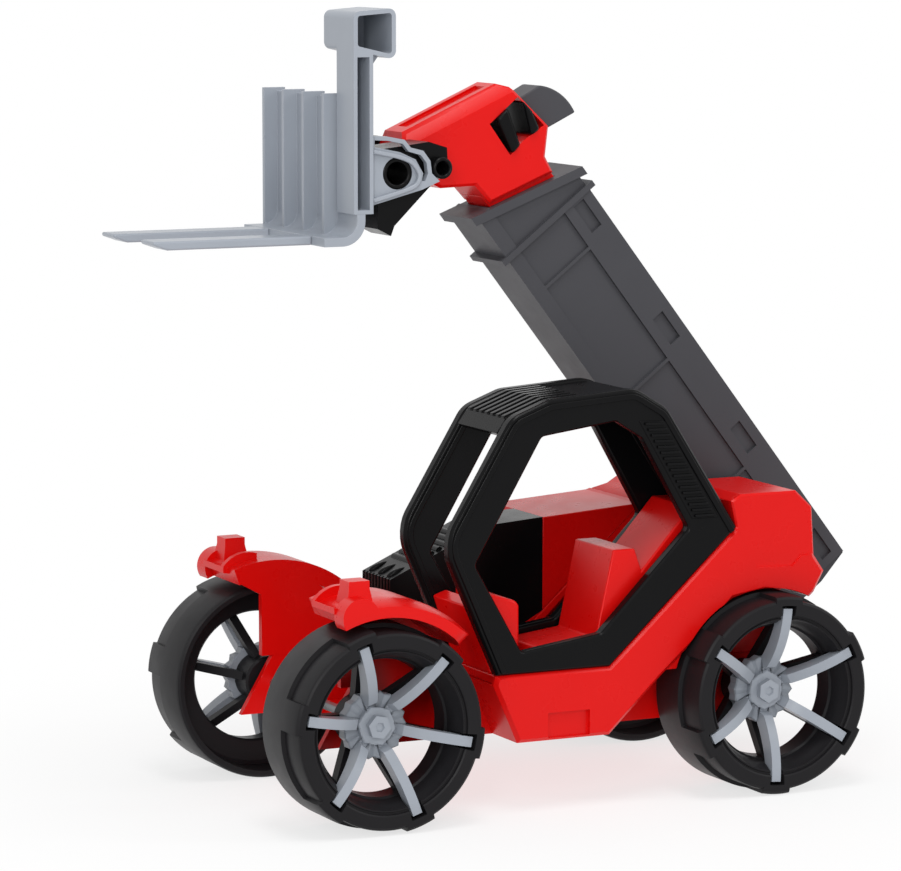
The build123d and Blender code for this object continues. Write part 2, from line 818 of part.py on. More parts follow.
cab_gap = (cab_inner_y + frame_depth, frame_inner_y)
roof_top = [(34.0, 154.4), (30.0, 161.0), (13.0, 167.4), (-26.8, 170.1), (-41.5, 161.1)]
roof_low = [(-41.5, 157), (-26.3, 165.4), (12.4, 162.8), (27.6, 157.2), (31.0, 152.6)]
with BuildPart() as roof:
    plate(roof_top[:1] + [(x, z - roof_sink) for x, z in roof_top[1:4]] + roof_top[4:] + roof_low, *cab_gap)
    rib_pitch = (cab_gap[1] - cab_gap[0]) / roof_rib_count
    rib_end_x, rib_end_z = along(roof_top[2], roof_top[3], roof_rib_share)
    rib_side = [
        roof_top[1],
        roof_top[2],
        (rib_end_x, rib_end_z),
        (rib_end_x, rib_end_z - wall),
        (roof_top[2][0], roof_top[2][1] - wall),
        (roof_top[1][0], roof_top[1][1] - wall),
    ]
    for i in range(roof_rib_count):
        rib_y = cab_gap[0] + rib_pitch * (i + 0.5) - roof_rib_width / 2
        plate(rib_side, rib_y, rib_y + roof_rib_width)
write(roof.part, "cab_roof")

with BuildPart() as rear_panel:
    plate([(-41.5, 157.0), (-41.5, 161.1), cab_edge[2], (band_top_x + wall, band_top_z)], *cab_gap)
write(rear_panel.part, "cab_rear_panel")

# Boom sleeve: hollow box with a wedge collar, raised bands and pockets
sleeve_side = [
    (-sleeve_tail + sleeve_tail_lean, sleeve_high),
    (-sleeve_tail, sleeve_tail_rise),
    (-sleeve_tail, 0),
    (-sleeve_tail + sleeve_tail_cut, sleeve_low),
    (sleeve_end_low, sleeve_low),
    (sleeve_end_high, sleeve_high),
]
with BuildPart() as sleeve:
    plate(sleeve_side, -sleeve_half, sleeve_half, boom_plane)
    plate(
        [
            (sleeve_end_low + lap - collar_band, sleeve_low - collar_lip),
            (sleeve_end_low + lap, sleeve_low - collar_lip),
            (sleeve_end_high + lap, sleeve_high + collar_lip),
            (sleeve_end_high + lap - collar_band, sleeve_high + collar_lip),
        ],
        -collar_half,
        collar_half,
        boom_plane,
    )
    plate(
        [
            (collar_foot, sleeve_low - collar_lip),
            (collar_foot, sleeve_high + collar_lip),
            (collar_foot - collar_depth, sleeve_high + collar_lip),
            (collar_foot - collar_depth, sleeve_low - collar_lip),
        ],
        -collar_half,
        collar_half,
        boom_plane,
    )
    rail_half = sleeve_half + band_depth
    rib_places = [sleeve_rib_first + sleeve_rib_pitch * i for i in range(sleeve_rib_count)]
    raised = [(-sleeve_tail + band_inset, collar_foot, sleeve_high - band_width, sleeve_high)]
    raised += [(-sleeve_tail + sleeve_tail_wall, sleeve_end_low - lap, sleeve_low, sleeve_low + rail_width)]
    raised += [(place, place + sleeve_rib_width, sleeve_low, sleeve_high) for place in rib_places]
    for start, end, low, high in raised:
        plate([(start, low), (end, low), (end, high), (start, high)], -rail_half, rail_half, boom_plane)
    for face_y in (rail_half, -rail_half + pocket_depth):
        with BuildSketch(boom_plane(face_y)):
            for i in range(pocket_count):
                with Locations((pocket_first + pocket_pitch * i, pocket_height)):
                    Rectangle(pocket_length, pocket_width)
        extrude(amount=pocket_depth, mode=Mode.SUBTRACT)
    plate(
        [
            (-sleeve_tail + sleeve_tail_wall, sleeve_low + sleeve_wall),
            (collar_foot - throat_depth, sleeve_low + sleeve_wall),
            (collar_foot - throat_depth, sleeve_high - sleeve_wall),
            (-sleeve_tail + sleeve_tail_wall, sleeve_high - sleeve_wall),
        ],
        -sleeve_half + sleeve_wall,
        sleeve_half - sleeve_wall,
        boom_plane,
        mode=Mode.SUBTRACT,
    )
    plate(
        [
            (0, inner_low - slide_play),
            (sleeve_end_low + collar_half, inner_low - slide_play),
            (sleeve_end_low + collar_half, inner_high + slide_play),
            (0, inner_high + slide_play),
        ],
        -inner_half - slide_play,
        inner_half + slide_play,
        boom_plane,
        mode=Mode.SUBTRACT,
    )
    bar(0, 0, pivot_r + pivot_play, -collar_half, collar_half, boom_plane, mode=Mode.SUBTRACT)
write(sleeve.part, "boom_sleeve")

# Inner boom with its guide shoe, and the head it carries
inner_side = [
    (shoe_start, inner_low),
    (inner_end_low, inner_low),
    (inner_end_high, inner_high),
    (shoe_start, inner_high),
]
with BuildPart() as inner:
    plate(
        inner_side,
        -inner_half,
        inner_half,
        boom_plane,
    )
    shoe_end = shoe_start + shoe_length
    plate(
        [
            (shoe_start, sleeve_low + sleeve_wall + slide_play),
            (shoe_end, sleeve_low + sleeve_wall + slide_play),
            (shoe_end, sleeve_high - sleeve_wall - slide_play),
            (shoe_start, sleeve_high - sleeve_wall - slide_play),
        ],
        -sleeve_half + sleeve_wall + slide_play,
        sleeve_half - sleeve_wall - slide_play,
        boom_plane,
    )
write(inner.part, "inner_boom")

head_side = [
    (13.5, 243.4),
    (20.3, 250.8),
    (36.0, 250.2),
    (tilt_x - 4.5, tilt_z - 6.6),
    (tilt_x + nose_r - 3, tilt_z - 5.5),
    (tilt_x + nose_r - 1, tilt_z),
    (51.8, 273.4),
    (9.4, 292.4),
    (4.0, 291.0),
    (-13.5, 274.5),
    (-12.0, 262.0),
    (-15.6, 255.4),
]
head_window = [(14.0, 276.0), (1.0, 287.0), (-11.0, 275.0), (-1.0, 268.5), (4.5, 263.0)]
head_front, head_rear = head_side[6:8]
with BuildPart() as head:
    plate(head_side, -head_half, head_half)
    side_faces = head.faces().sort_by(Axis.Y)
    chamfer(side_faces[0].edges() + side_faces[-1].edges(), head_bevel)
    groove_start, groove_end = [along(head_front, head_rear, share) for share in head_groove_span]
    top_groove = [
        (groove_start[0], groove_start[1] - head_groove_depth),
        (groove_end[0], groove_end[1] - head_groove_depth),
        (groove_end[0], groove_end[1] + head_half),
        (groove_start[0], groove_start[1] + head_half),
    ]
    plate(top_groove, -head_groove_half, head_groove_half, mode=Mode.SUBTRACT)
    plate(head_window, -head_half - lap, head_half + lap, mode=Mode.SUBTRACT)
    bar(tilt_x, tilt_z, tilt_boss_r + pivot_play, -head_half - lap, head_half + lap, mode=Mode.SUBTRACT)
    plate(inner_side, -inner_half, inner_half, boom_plane, mode=Mode.SUBTRACT)
write(head.part, "boom_head")

with BuildPart() as lever:
    with BuildSketch(side_plane(lever_half)):
        with BuildLine():
            lever_back = ThreePointArc((-11.4, 291.2), (-21.0, 287.8), (-28.2, 279.7))
            Polyline(lever_back @ 1, (-15.2, 273.4), (-2.0, 286.0), lever_back @ 0)
        make_face()
    extrude(amount=2 * lever_half)
write(lever.part, "tilt_lever")

with BuildPart() as bars:
    front, peak, rear, low_rear, low_front = head_window
    for top, top_share, low, low_share in (
        ((front, peak), (0.2, 0.6), (low_front, low_rear), (0.1, 0.75)),
        ((peak, rear), (0.12, 0.5), (low_rear, rear), (0.35, 0.75)),
    ):
        top_end = [along(*top, share) for share in top_share]
        low_end = [along(*low, share) for share in reversed(low_share)]
        plate(top_end + low_end, -lock_bar_half, lock_bar_half)
write(bars.part, "lock_bars")

# Coupler: two black side plates on the tilt axle, joined ahead of the head
coupler_side = [
    (tilt_x - 4.6, tilt_z - 3.0),
    (tilt_x + 1.0, tilt_z - 5.0),
    (tilt_x + 19.5, tilt_z - 23.0),
    (tilt_x + 21.0, tilt_z - 27.0),
    (tilt_x + 27.0, tilt_z - 24.0),
    (tilt_x + 26.0, tilt_z + 8.0),
    (tilt_x + 4.0, tilt_z + 10.5),
    (tilt_x - 4.0, tilt_z + 8.0),
]
with BuildPart() as coupler:
    for y_low, y_high in ((coupler_inner, coupler_outer), (-coupler_outer, -coupler_inner)):
        plate(coupler_side, y_low, y_high)
    plate(
        [
            (tilt_x + 20.5, tilt_z - 25.0),
            (tilt_x + 27.0, tilt_z - 24.0),
            (tilt_x + 26.0, tilt_z + 4.0),
            (tilt_x + 18.0, tilt_z + 4.0),
        ],
        -coupler_inner,
        coupler_inner,
    )
    bar(tilt_x, tilt_z, tilt_boss_r, -coupler_outer - lap, coupler_outer + lap, mode=Mode.SUBTRACT)
    bar(pin_x, pin_z, pin_r, -coupler_outer - lap, coupler_outer + lap, mode=Mode.SUBTRACT)
write(coupler.part, "coupler")

with BuildPart() as tilt_axle:
    bar(tilt_x, tilt_z, tilt_boss_r, -bracket_half, bracket_half)
    bar(tilt_x, tilt_z, tilt_r, -bracket_half - lap, bracket_half + lap, mode=Mode.SUBTRACT)
write(tilt_axle.part, "tilt_axle")

with BuildPart() as carriage_pin:
    bar(pin_x, pin_z, pin_r, -bracket_half, bracket_half)
    bar(pin_x, pin_z, pin_hole_r, -fork_half - lap, fork_half + lap, mode=Mode.SUBTRACT)
write(carriage_pin.part, "carriage_pin")

# Fork carriage: finned plate, heel, tines, brackets, tool post and hollow box
def bracket(root_x, y_low):
    """Adds a side bracket from the pins back to the given x, with a rim round an inner lug."""
    edge = [
        (24.7, 13.4),
        (17.1, 11.9),
        (14.4, 8.7),
        (8.8, 7.3),
        (5.7, 3.2),
        (5.0, -1.9),
        (1.5, -5.2),
        (9.5, -8.4),
        (19.3, -10.9),
    ]
    gap = [
        (30.4, 12.0),
        (24.5, 11.7),
        (17.9, 10.3),
        (15.3, 7.1),
        (9.9, 5.6),
        (7.4, 2.4),
        (6.8, -2.0),
        (8.1, -5.0),
        (9.5, -4.8),
        (8.9, -1.8),
        (12.3, 3.9),
        (19.2, 7.0),
        (30.4, 9.3),
    ]
    outline = [(tilt_x + x, tilt_z + z) for x, z in edge]
    outline = [(root_x, tilt_z + bracket_rise)] + outline + [(root_x, tilt_z - bracket_drop)]
    plate(outline, y_low, y_low + bracket_width)
    window = [(tilt_x + x, tilt_z + z) for x, z in gap]
    cut_span = (y_low - lap, y_low + bracket_width + lap)
    plate(window, *cut_span, mode=Mode.SUBTRACT)
    bar(pin_x, pin_z, pin_r, *cut_span, mode=Mode.SUBTRACT)


with BuildPart() as carriage:
    plate(
        [
            (plate_x, plate_foot_z),
            (plate_x + plate_depth, plate_foot_z),
            (plate_x + plate_depth, plate_top_z),
            (plate_x, plate_top_z),
        ],
        -fork_half,
        fork_half,
    )
    post_seat = [
        (plate_x - lap, post_low_z),
        (plate_x + plate_depth + lap, post_low_z),
        (plate_x + plate_depth + lap, plate_top_z + lap),
        (plate_x - lap, plate_top_z + lap),
    ]
    plate(post_seat, fork_half - post_width, fork_half + lap, mode=Mode.SUBTRACT)
    with BuildSketch(side_plane(fork_half)):
        with BuildLine():
            heel_centre = (plate_x + heel_r, plate_foot_z)
            outer_heel = CenterArc(heel_centre, heel_r, 180, 90)
            inner_heel = CenterArc(heel_centre, heel_r - plate_depth, 180, 90)
            Line(outer_heel @ 0, inner_heel @ 0)
            Polyline(outer_heel @ 1, (heel_front_x, tine_low_z), (heel_front_x, tine_top_z), inner_heel @ 1)
        make_face()
    extrude(amount=2 * fork_half)
    fin_front_x = plate_x + plate_depth + fin_depth
    for i in range(fin_count):
        fin_y = fin_width - fork_half + fin_spacing * i
        fin_side = [
            (plate_x, plate_foot_z),
            (plate_x + heel_r, tine_low_z + lap),
            (fin_front_x, tine_top_z),
            (fin_front_x, plate_top_z + tab_rise),
            (plate_x, plate_top_z + tab_rise),
        ]
        plate(fin_side, fin_y - fin_width, fin_y)
    bracket(plate_x, -bracket_half)
write(carriage.part, "fork_carriage")

with BuildPart() as tines:
    for tine_y in (-tine_spacing / 2, tine_spacing / 2):
        plate(
            [
                (heel_front_x, tine_low_z),
                (tine_tip_x - tip_length, tine_low_z),
                (tine_tip_x, tine_top_z - tip_depth),
                (tine_tip_x, tine_top_z),
                (heel_front_x, tine_top_z),
            ],
            tine_y - tine_width / 2,
            tine_y + tine_width / 2,
        )
write(tines.part, "fork_tines")

box_side = [
    (box_rear_x, box_low_rear_z),
    (post_front_x, box_low_front_z),
    (post_front_x, box_top_front_z),
    (box_rear_x, box_top_rear_z),
]
post_share = (post_rear_x - box_rear_x) / (post_front_x - box_rear_x)
post_top_rear = along(*box_side[:2], post_share)
with BuildPart() as post:
    plate(
        [
            (post_rear_x, post_low_z),
            (post_front_x, post_low_z),
            (post_front_x, box_low_front_z + box_round),
            (post_rear_x, post_top_rear[1] + box_wall / 2),
        ],
        fork_half - post_width,
        fork_half,
    )
    channel_top_z = box_low_front_z - channel_top_gap
    channel = [
        (post_rear_x + post_wall, post_low_z + post_wall),
        (post_front_x - post_wall, post_low_z + post_wall),
        (post_front_x - post_wall, channel_top_z),
        (post_rear_x + post_wall, channel_top_z),
    ]
    plate(channel, fork_half - channel_depth, fork_half + lap, mode=Mode.SUBTRACT)
    plate(box_side, box_inner_y, fork_half, corner_r=box_round)
    with BuildSketch(side_plane(fork_half)) as mouth:
        with BuildLine():
            Polyline(*box_side, close=True)
        make_face()
        fillet(mouth.vertices(), radius=box_round)
        offset(amount=-box_wall, mode=Mode.REPLACE)
    extrude(amount=fork_half - box_inner_y - box_wall, mode=Mode.SUBTRACT)
    gusset = [
        (post_rear_x, post_top_rear[1] - gusset_drop),
        (post_rear_x, post_top_rear[1] + box_wall / 2),
        (post_rear_x - gusset_reach, post_top_rear[1]),
    ]
    gusset_y = fork_half - post_width / 2
    plate(gusset, gusset_y - gusset_width / 2, gusset_y + gusset_width / 2)
    bracket(post_rear_x, bracket_half - bracket_width)
write(post.part, "tool_post")
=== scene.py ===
import json
from math import atan2, cos, degrees, hypot, pi, radians, sin

import bmesh
import bpy
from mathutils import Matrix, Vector


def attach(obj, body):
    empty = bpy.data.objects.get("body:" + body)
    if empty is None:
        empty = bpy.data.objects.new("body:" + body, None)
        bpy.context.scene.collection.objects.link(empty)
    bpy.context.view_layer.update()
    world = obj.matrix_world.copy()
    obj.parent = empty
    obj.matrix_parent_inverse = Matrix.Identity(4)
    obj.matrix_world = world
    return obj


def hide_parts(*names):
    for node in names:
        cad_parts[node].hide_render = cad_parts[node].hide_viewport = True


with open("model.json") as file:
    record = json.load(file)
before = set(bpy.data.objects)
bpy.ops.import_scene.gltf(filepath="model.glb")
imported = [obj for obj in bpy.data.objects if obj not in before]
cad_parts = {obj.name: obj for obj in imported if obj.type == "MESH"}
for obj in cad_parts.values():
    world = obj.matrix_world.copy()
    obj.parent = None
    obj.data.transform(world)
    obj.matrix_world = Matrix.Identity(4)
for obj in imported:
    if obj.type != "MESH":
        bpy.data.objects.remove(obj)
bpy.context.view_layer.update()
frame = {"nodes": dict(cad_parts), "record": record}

# Toy telehandler. The frame is in metres, the shapes below are worked in millimetres.
# +X forward, +Y to the left, +Z up, floor at z = 0.
MM = 0.001

bodies = frame["record"]["behaviour"]["bodies"]
body_of = {node: body for body, nodes in bodies.items() for node in nodes}
slot_of = {part["node"]: part["material_slot"] for part in frame["record"]["subparts"]}


# Materials
def linear(hex_colour):
    """Linear colour from an sRGB hex value."""
    parts = [int(hex_colour[i:i + 2], 16) / 255 for i in (1, 3, 5)]
    return tuple(c / 12.92 if c <= 0.04045 else ((c + 0.055) / 1.055) ** 2.4 for c in parts) + (1.0,)


def add(tree, kind, inputs=None, **settings):
    """Adds a node; inputs maps a socket to a value or to another node's output."""
    made = tree.nodes.new(kind)
    for name, value in settings.items():
        setattr(made, name, value)
    for socket, value in (inputs or {}).items():
        if isinstance(value, bpy.types.NodeSocket):
            tree.links.new(value, made.inputs[socket])
        else:
            made.inputs[socket].default_value = value
    return made


def per_mm(size_mm):
    """Texture scale that makes one feature about size_mm across."""
    return 1 / (size_mm * MM)


def new_material(name):
    material = bpy.data.materials.new(name)
    material.use_nodes = True
    material.node_tree.nodes.clear()
    return material, material.node_tree


def moulded_plastic(name, colour, flow_colour, roughness, grain_mm, grain_depth_mm, specular):
    """Injection-moulded plastic: faint flow clouds in its colour, uneven gloss and a fine skin texture."""
    material, tree = new_material(name)
    place = add(tree, "ShaderNodeTexCoord").outputs["Object"]
    flow = add(tree, "ShaderNodeTexNoise", {"Vector": place, "Scale": per_mm(45), "Detail": 3.0, "Distortion": 1.2})
    tint = add(tree, "ShaderNodeMix", {"Factor": flow.outputs["Fac"], "A": linear(colour), "B": linear(flow_colour)},
               data_type="RGBA")
    gloss = add(tree, "ShaderNodeTexNoise", {"Vector": place, "Scale": per_mm(9), "Detail": 4.0})
    spread = add(tree, "ShaderNodeMapRange", {"Value": gloss.outputs["Fac"], "To Min": roughness - 0.06,
                                              "To Max": roughness + 0.08})
    skin = add(tree, "ShaderNodeTexNoise", {"Vector": place, "Scale": per_mm(grain_mm), "Detail": 2.0})
    relief = add(tree, "ShaderNodeBump", {"Height": skin.outputs["Fac"], "Strength": 1.0,
                                          "Distance": grain_depth_mm * MM})
    shader = add(tree, "ShaderNodeBsdfPrincipled", {
        "Base Color": tint.outputs[2], "Roughness": spread.outputs["Result"], "Normal": relief.outputs["Normal"],
        "IOR": 1.5, "Specular IOR Level": specular})
    add(tree, "ShaderNodeOutputMaterial", {"Surface": shader.outputs["BSDF"]})
    return material


def drawn_steel(name, colour, line_colour, line_mm):
    """Cold-drawn steel bar: bright grey metal with fine lines along the bar, which lies along Y."""
    material, tree = new_material(name)
    place = add(tree, "ShaderNodeTexCoord").outputs["Object"]
    along = add(tree, "ShaderNodeMapping", {"Vector": place, "Scale": (1.0, 0.04, 1.0)})
    lines = add(tree, "ShaderNodeTexNoise", {"Vector": along.outputs["Vector"], "Scale": per_mm(line_mm),
                                             "Detail": 3.0})
    tint = add(tree, "ShaderNodeMix", {"Factor": lines.outputs["Fac"], "A": linear(colour), "B": linear(line_colour)},
               data_type="RGBA")
    spread = add(tree, "ShaderNodeMapRange", {"Value": lines.outputs["Fac"], "To Min": 0.24, "To Max": 0.40})
    shader = add(tree, "ShaderNodeBsdfPrincipled", {
        "Base Color": tint.outputs[2], "Metallic": 1.0, "Roughness": spread.outputs["Result"]})
    add(tree, "ShaderNodeOutputMaterial", {"Surface": shader.outputs["BSDF"]})
    return material


# Mould grain and drawing lines are some hundredths of a millimetre wide; they are drawn as coarse as they need to show.
finishes = {
    # Gloss ABS: clean, strong red with soft pale streaks where a face turns to the lamps
    "red_plastic": moulded_plastic("red_abs_gloss", "#dc0e0b", "#d60a08", 0.28, 1.6, 0.004, 0.18),
    # Satin ABS: deep black that shows its edges as thin light lines
    "black_plastic": moulded_plastic("black_abs_satin", "#0a0a0b", "#0e0e0f", 0.24, 1.4, 0.010, 0.10),
    # Polypropylene: flat mid grey with a waxy, broad sheen
    "grey_plastic": moulded_plastic("grey_polypropylene", "#434347", "#48484c", 0.40, 1.2, 0.016, 0.14),
    # Soft PVC: dull near-black with a fine grain
    "tyre_plastic": moulded_plastic("tyre_soft_pvc", "#181719", "#1c1b1d", 0.42, 1.1, 0.020, 0.14),
    # Silver-filled ABS: cool pale grey, a little brighter where it faces the lamps
    "silver_plastic": moulded_plastic("silver_abs", "#959ba4", "#9da3ac", 0.30, 1.3, 0.010, 0.32),
    # Drawn steel: grey metal with light lines along the bar
    "steel": drawn_steel("drawn_steel", "#8d8f92", "#a6a8aa", 0.6),
}


# Pieces
merge_mm = 0.002
flat_deg = 0.5
dressed = set()


def solid_copy(node):
    """The solid's shape in millimetres, its triangles merged back to whole faces."""
    shape = bmesh.new()
    shape.from_mesh(frame["nodes"][node].data)
    bmesh.ops.scale(shape, vec=(1 / MM, 1 / MM, 1 / MM), verts=shape.verts)
    bmesh.ops.remove_doubles(shape, verts=shape.verts, dist=merge_mm)
    bmesh.ops.dissolve_limit(shape, angle_limit=radians(flat_deg), verts=shape.verts, edges=shape.edges)
    return shape


def new_piece(shape, name, body, slot, edge_mm=0, smooth_deg=40):
    """Makes a piece from a shape in millimetres, its moulded edges rounded by edge_mm."""
    bmesh.ops.scale(shape, vec=(MM, MM, MM), verts=shape.verts)
    mesh = bpy.data.meshes.new(name + "_mesh")
    shape.to_mesh(mesh)
    shape.free()
    piece = bpy.data.objects.new(name, mesh)
    bpy.context.scene.collection.objects.link(piece)
    mesh.materials.clear()
    mesh.materials.append(finishes[slot])
    mesh.shade_smooth()
    mesh.set_sharp_from_angle(angle=radians(smooth_deg))
    if edge_mm:
        rounding = piece.modifiers.new("rounded_edges", "BEVEL")
        rounding.width = edge_mm * MM
        rounding.segments = 2
        rounding.limit_method = "ANGLE"
        rounding.angle_limit = radians(30)
        piece.modifiers.new("face_normals", "WEIGHTED_NORMAL").keep_sharp = True
    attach(piece, body)
    return piece


def dress(node, shape, edge_mm=0.7, smooth_deg=40):
    """A piece that takes a solid's place."""
    piece = new_piece(shape, node + "_moulding", body_of[node], slot_of[node], edge_mm, smooth_deg)
    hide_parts(node)
    dressed.add(node)


def push(shape, faces, move):
    """Extrudes open faces by a move into a closed block."""
    far = bmesh.ops.extrude_face_region(shape, geom=faces)["geom"]
    bmesh.ops.translate(shape, verts=[part for part in far if isinstance(part, bmesh.types.BMVert)], vec=move)


def loop(shape, points):
    """A closed loop of edges through the points."""
    corners = [shape.verts.new(point) for point in points]
    return corners, [shape.edges.new((a, b)) for a, b in zip(corners, corners[1:] + corners[:1])]


# Wheels
wheel_z = 41.7
wheel_x = {"front": 83.4, "rear": -95.4}
spoke_angle = {"front": 71.35, "rear": 93.88}
lug_height = 1.7
lug_half_deg = 9.2
lug_start_deg = 8.7
tread_low_r = 39.9
slot_low_y = 64.6
pocket_half_deg = 5.0
pocket_r = 37.4
pocket_floor_y = 70.2
# Section of the hollow tyre as (y, radius): shell, tread, outer face, groove, lip, dish, rim and web
tyre_section = [
    (44.3, 38.6), (44.3, 40.4), (44.9, 41.3), (46.2, 41.7), (64.3, 41.7), (64.8, 41.7), (77.7, 41.7), (78.7, 41.3),
    (79.3, 40.4), (79.3, 37.7), (79.3, 37.3), (79.3, 34.2), (78.9, 33.6), (77.9, 33.4), (77.8, 32.7), (78.3, 32.4),
    (78.2, 31.9), (76.8, 31.5), (74.8, 30.4), (72.2, 29.4), (69.4, 28.8), (68.6, 28.0), (60.0, 27.6), (59.0, 28.4),
    (58.6, 30.5), (58.0, 36.6), (56.5, 38.0),
]
# Turns in degrees and steps of one sixth: lug, pocket wall, pocket, pocket wall, lug, lug wall, slot, lug wall
sixth = [(3.4, 1), (0.4, 1), (9.8, 4), (0.4, 1), (3.4, 1), (0.6, 1), (41.4, 18), (0.6, 1)]
hub_section = [(44.3, 2.1), (44.3, 9.6), (45.2, 10.5), (56.8, 10.5), (56.8, 2.1)]
core_spoke_section = [(48.3, 9.5), (53.3, 9.5), (69.7, 28.4), (64.7, 28.4)]
core_spoke_width = 3.6
# Star: its spokes' roots are lowered below the hexagon collar, and its cap is dimpled
root_front_y = 66.8
root_slack = 0.3
root_reach = 12.0
root_drop = 3.2
cap_y = 67.8
cap_rim = 2.9
dimple_edge = 0.4
dimple_depth = 0.8
# Hub boss: a fluted disc under the hexagon collar
disc_section = [(57.2, 6.0), (57.2, 13.1), (61.5, 13.1), (62.0, 12.6), (62.0, 6.0)]
collar_section = [(61.0, 4.0), (61.0, 8.75), (64.3, 8.75), (64.9, 8.1), (64.9, 4.0)]
flute_deg = 10
flute_rise = 0.9
flute_inner_r = 8.0
flute_front_y = 60.0


def turned(end, angle, section):
    """Points of a section stood up at the given angle round a wheel's axle."""
    return [(wheel_x[end] + r * cos(angle), y, wheel_z + r * sin(angle)) for y, r in section]


def lathe(shape, end, section, steps, start=0.0):
    """Turns a closed section round a wheel's axle."""
    corners, rim = loop(shape, turned(end, start, section))
    bmesh.ops.spin(shape, geom=corners + rim, cent=(wheel_x[end], 0, wheel_z), axis=(0, -1, 0), angle=2 * pi,
                   steps=steps, use_merge=True)


def tyre_shape(end):
    """Left tyre: lugs and slots pressed into a spun section, pockets for the star's tips, hub and core spokes."""
    shape = bmesh.new()
    first = spoke_angle[end]
    corners, rim = loop(shape, turned(end, radians(first - lug_start_deg), tyre_section))
    edge = corners + rim
    for turn, steps in sixth * 6:
        edge = bmesh.ops.spin(shape, geom=edge, cent=(wheel_x[end], 0, wheel_z), axis=(0, -1, 0),
                              angle=radians(turn), steps=steps)["geom_last"]
    bmesh.ops.remove_doubles(shape, verts=shape.verts, dist=0.02)
    for corner in shape.verts:
        across, up = corner.co.x - wheel_x[end], corner.co.z - wheel_z
        r = hypot(across, up)
        offset = abs((degrees(atan2(up, across)) - first + 30) % 60 - 30)
        if offset > lug_half_deg and corner.co.y > slot_low_y and r > tread_low_r:
            corner.co.x -= lug_height * across / r
            corner.co.z -= lug_height * up / r
        if offset < pocket_half_deg and r < pocket_r and corner.co.y > pocket_floor_y:
            corner.co.y = pocket_floor_y
    lathe(shape, end, hub_section, 48)
    for i in range(6):
        angle = radians(first + 60 * i)
        width = core_spoke_width * Vector((-sin(angle), 0, cos(angle)))
        corners, rim = loop(shape, turned(end, angle, core_spoke_section))
        bmesh.ops.translate(shape, verts=corners, vec=-width / 2)
        push(shape, [shape.faces.new(corners)], width)
    bmesh.ops.recalc_face_normals(shape, faces=shape.faces)
    return shape


def star_shape(end):
    """Left star of a wheel."""
    shape = solid_copy(end + "_star_left")
    axle = Vector((wheel_x[end], 0, wheel_z))
    for corner in shape.verts:
        if abs(corner.co.y - root_front_y) < root_slack and hypot(*(corner.co - axle).xz) < root_reach:
            corner.co.y = root_front_y - root_drop
    cap_middle = axle + Vector((0, cap_y, 0))
    cap = min(shape.faces, key=lambda face: (face.calc_center_median() - cap_middle).length)
    bmesh.ops.inset_region(shape, faces=[cap], thickness=cap_rim, depth=0)
    bmesh.ops.inset_region(shape, faces=[cap], thickness=dimple_edge, depth=-dimple_depth)
    return shape


def boss_shape(end):
    """Left hub boss of a wheel, every second column of its disc raised to a flute."""
    first = radians(spoke_angle[end])
    boss = bmesh.new()
    lathe(boss, end, disc_section, 360 // flute_deg, first + radians(flute_deg))
    for corner in boss.verts:
        across, up = corner.co.x - wheel_x[end], corner.co.z - wheel_z
        column = round((degrees(atan2(up, across)) - spoke_angle[end]) / flute_deg)
        r = hypot(across, up)
        if column % 2 and r > flute_inner_r:
            corner.co.x += flute_rise * across / r
            corner.co.z += flute_rise * up / r
            if corner.co.y > flute_front_y:
                corner.co.y += flute_rise
    lathe(boss, end, collar_section, 6, first)
    bmesh.ops.remove_doubles(boss, verts=boss.verts, dist=0.01)
    bmesh.ops.recalc_face_normals(boss, faces=boss.faces)
    return boss


def other_side(shape):
    """Mirror image of a left shape, for the right side."""
    mirrored = shape.copy()
    bmesh.ops.scale(mirrored, vec=(1, -1, 1), verts=mirrored.verts)
    bmesh.ops.reverse_faces(mirrored, faces=mirrored.faces)
    return mirrored


for end in ("front", "rear"):
    left = tyre_shape(end)
    dress(end + "_tyre_right", other_side(left), 0, 32)
    dress(end + "_tyre_left", left, 0, 32)
    star, boss = star_shape(end), boss_shape(end)
    for side, spokes, disc in (("right", other_side(star), other_side(boss)), ("left", star, boss)):
        dress(f"{end}_star_{side}", spokes, 0.7)
        new_piece(disc, f"{end}_hub_boss_{side}", f"wheel_{end}_{side}", "silver_plastic", 0, 20)

# Boom head: its top narrows between broad bevels
head = solid_copy("boom_head")
top_front = Vector((45.8, 0, 275.1))
top_normal = Vector((19.0, 0, 42.4)).normalized()
bevel_drop = 5.5
outer_pull = 3.6
groove_pull = 1.5
groove_half = 8.0
bmesh.ops.bisect_plane(head, geom=head.verts[:] + head.edges[:] + head.faces[:],
                       plane_co=top_front - bevel_drop * top_normal, plane_no=top_normal)
for corner in head.verts:
    drop = (top_front - corner.co).dot(top_normal)
    if drop < bevel_drop - 0.1:
        side = 1 if corner.co.y > 0 else -1
        pull = outer_pull if abs(corner.co.y) > groove_half else groove_pull
        corner.co.y -= side * pull * (1 - max(drop, 0) / bevel_drop)
dress("boom_head", head, 0.9)

# Lock bars: stand proud of the head's sides
bars = solid_copy("lock_bars")
bar_stretch = 1.3
bmesh.ops.scale(bars, vec=(1, bar_stretch, 1), verts=bars.verts)
dress("lock_bars", bars, 1.2)

